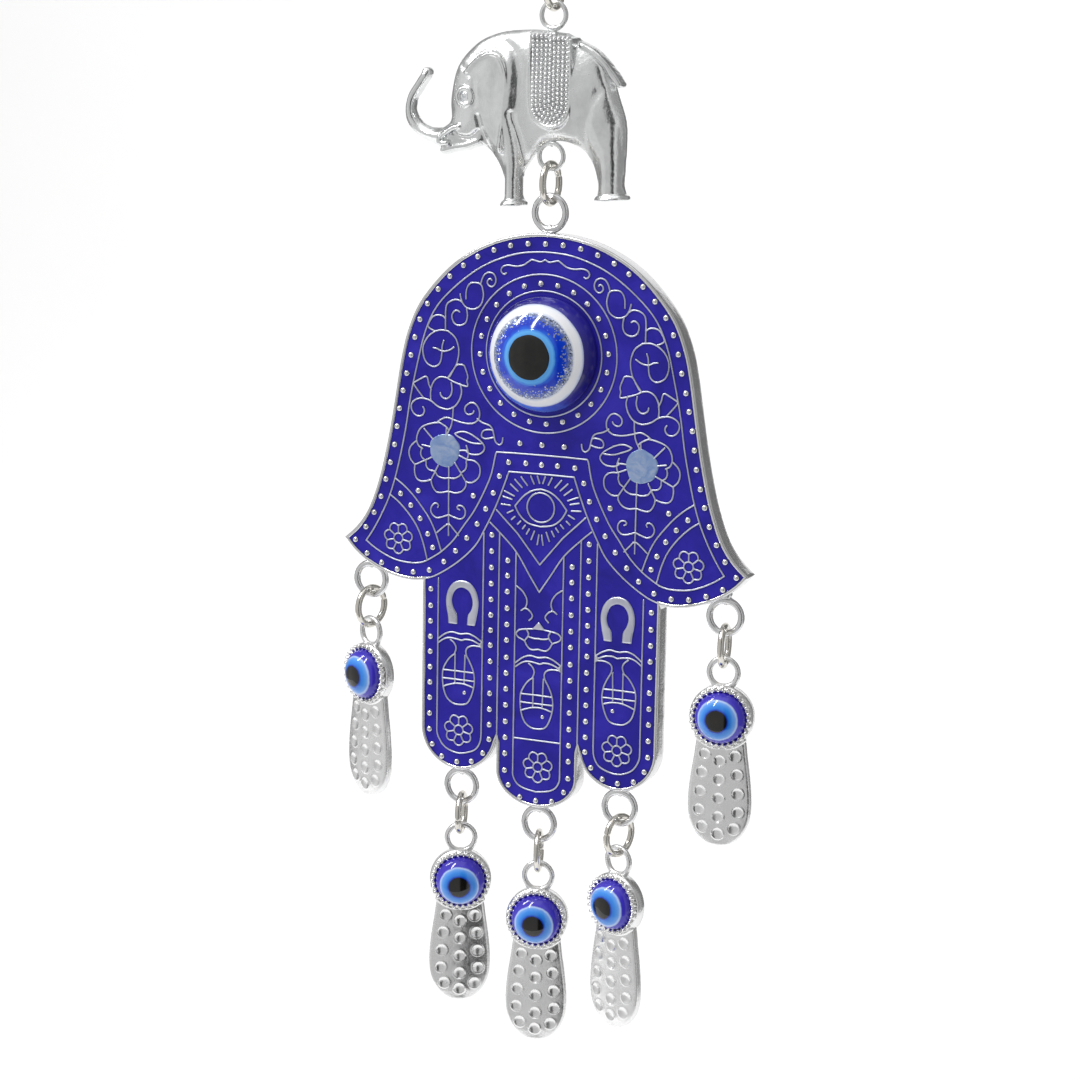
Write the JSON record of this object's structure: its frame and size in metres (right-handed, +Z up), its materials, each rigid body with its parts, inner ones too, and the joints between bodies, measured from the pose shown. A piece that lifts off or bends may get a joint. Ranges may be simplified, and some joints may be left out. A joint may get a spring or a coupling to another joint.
{
  "type": "evil eye hanging ornament",
  "caption": "Wall or bag ornament: an elephant charm on jump rings holds an enamelled hand-shaped plate with a domed eye and swinging bead pendants.",
  "frame": {"origin": "the hanging point: the top of the inside of the hanging ring, where a hook or nail touches it, on the ornament's centre plane", "axes": "+Z up, along the chain; the decorated front faces -Y; +X is to the viewer's right"},
  "size_m": [0.0872, 0.0138, 0.2299],
  "materials": {
    "ring_metal": "polished nickel-plated steel wire, slightly warm",
    "cast_metal": "bright silver-plated cast zinc alloy",
    "enamel": "deep royal blue soft enamel, gloss, slightly uneven",
    "flower_stone": "pale steel-blue enamel disc, satin",
    "eye_blue": "deep blue clear resin, high gloss",
    "eye_white": "white resin ring, high gloss",
    "eye_glitter": "bright blue resin with silver glitter, high gloss",
    "eye_light": "light blue resin ring, high gloss",
    "eye_black": "black resin, high gloss",
    "bead_resin": "layered blue, white and black resin bead, high gloss",
    "clear_stone": "clear faceted glass with foil back"
  },
  "bodies": {
    "hanging_ring": {"hanging_ring": "ring_metal"},
    "top_link": {"top_link": "ring_metal"},
    "elephant": {"elephant_body": "cast_metal", "elephant_eye_stone": "clear_stone"},
    "mid_link": {"mid_link": "ring_metal"},
    "hamsa": {"hamsa_plate": "cast_metal", "hamsa_enamel": "enamel", "flower_stone_left": "flower_stone", "flower_stone_right": "flower_stone", "eye_body": "eye_blue", "eye_white_ring": "eye_white", "eye_glitter_ring": "eye_glitter", "eye_light_ring": "eye_light", "eye_pupil": "eye_black"},
    "link_1": {"link_1": "ring_metal"},
    "pendant_1": {"pendant_1": "cast_metal", "bead_1": "bead_resin"},
    "link_2": {"link_2": "ring_metal"},
    "pendant_2": {"pendant_2": "cast_metal", "bead_2": "bead_resin"},
    "link_3": {"link_3": "ring_metal"},
    "pendant_3": {"pendant_3": "cast_metal", "bead_3": "bead_resin"},
    "link_4": {"link_4": "ring_metal"},
    "pendant_4": {"pendant_4": "cast_metal", "bead_4": "bead_resin"},
    "link_5": {"link_5": "ring_metal"},
    "pendant_5": {"pendant_5": "cast_metal", "bead_5": "bead_resin"}
  },
  "joints": [
    {"name": "top_link_swing", "type": "hinge", "parent": "hanging_ring", "child": "top_link", "pos_m": [0, 0, -0.0216], "axis": [1, 0, 0], "range_deg": [-45, 45]},
    {"name": "elephant_swing", "type": "hinge", "parent": "top_link", "child": "elephant", "pos_m": [0, 0, -0.02755], "axis": [0, 1, 0], "range_deg": [-30, 30]},
    {"name": "mid_link_swing", "type": "hinge", "parent": "elephant", "child": "mid_link", "pos_m": [0, 0, -0.05715], "axis": [1, 0, 0], "range_deg": [-45, 45]},
    {"name": "hamsa_swing", "type": "hinge", "parent": "mid_link", "child": "hamsa", "pos_m": [0, 0, -0.06345], "axis": [0, 1, 0], "range_deg": [-24, 24]},
    {"name": "link_1_swing", "type": "hinge", "parent": "hamsa", "child": "link_1", "pos_m": [-0.0373, 0, -0.14195], "axis": [1, 0, 0], "range_deg": [-50, 50]},
    {"name": "pendant_1_swing", "type": "hinge", "parent": "link_1", "child": "pendant_1", "pos_m": [-0.0373, 0, -0.14805], "axis": [0.2588, 0.9659, 0], "range_deg": [-12, 40]},
    {"name": "link_2_swing", "type": "hinge", "parent": "hamsa", "child": "link_2", "pos_m": [-0.0169, 0, -0.18165], "axis": [1, 0, 0], "range_deg": [-50, 50]},
    {"name": "pendant_2_swing", "type": "hinge", "parent": "link_2", "child": "pendant_2", "pos_m": [-0.0169, 0, -0.18775], "axis": [-0.2588, 0.9659, 0], "range_deg": [-8, 40]},
    {"name": "link_3_swing", "type": "hinge", "parent": "hamsa", "child": "link_3", "pos_m": [0, 0, -0.18715], "axis": [1, 0, 0], "range_deg": [-50, 50]},
    {"name": "pendant_3_swing", "type": "hinge", "parent": "link_3", "child": "pendant_3", "pos_m": [0, 0, -0.19325], "axis": [-0.309, 0.9511, 0], "range_deg": [-8, 8]},
    {"name": "link_4_swing", "type": "hinge", "parent": "hamsa", "child": "link_4", "pos_m": [0.0169, 0, -0.18165], "axis": [1, 0, 0], "range_deg": [-50, 50]},
    {"name": "pendant_4_swing", "type": "hinge", "parent": "link_4", "child": "pendant_4", "pos_m": [0.0169, 0, -0.18775], "axis": [0.2924, 0.9563, 0], "range_deg": [-40, 8]},
    {"name": "link_5_swing", "type": "hinge", "parent": "hamsa", "child": "link_5", "pos_m": [0.0373, 0, -0.14195], "axis": [1, 0, 0], "range_deg": [-50, 50]},
    {"name": "pendant_5_swing", "type": "hinge", "parent": "link_5", "child": "pendant_5", "pos_m": [0.0373, 0, -0.14805], "axis": [-0.1564, 0.9877, 0], "range_deg": [-40, 12]}
  ]
}
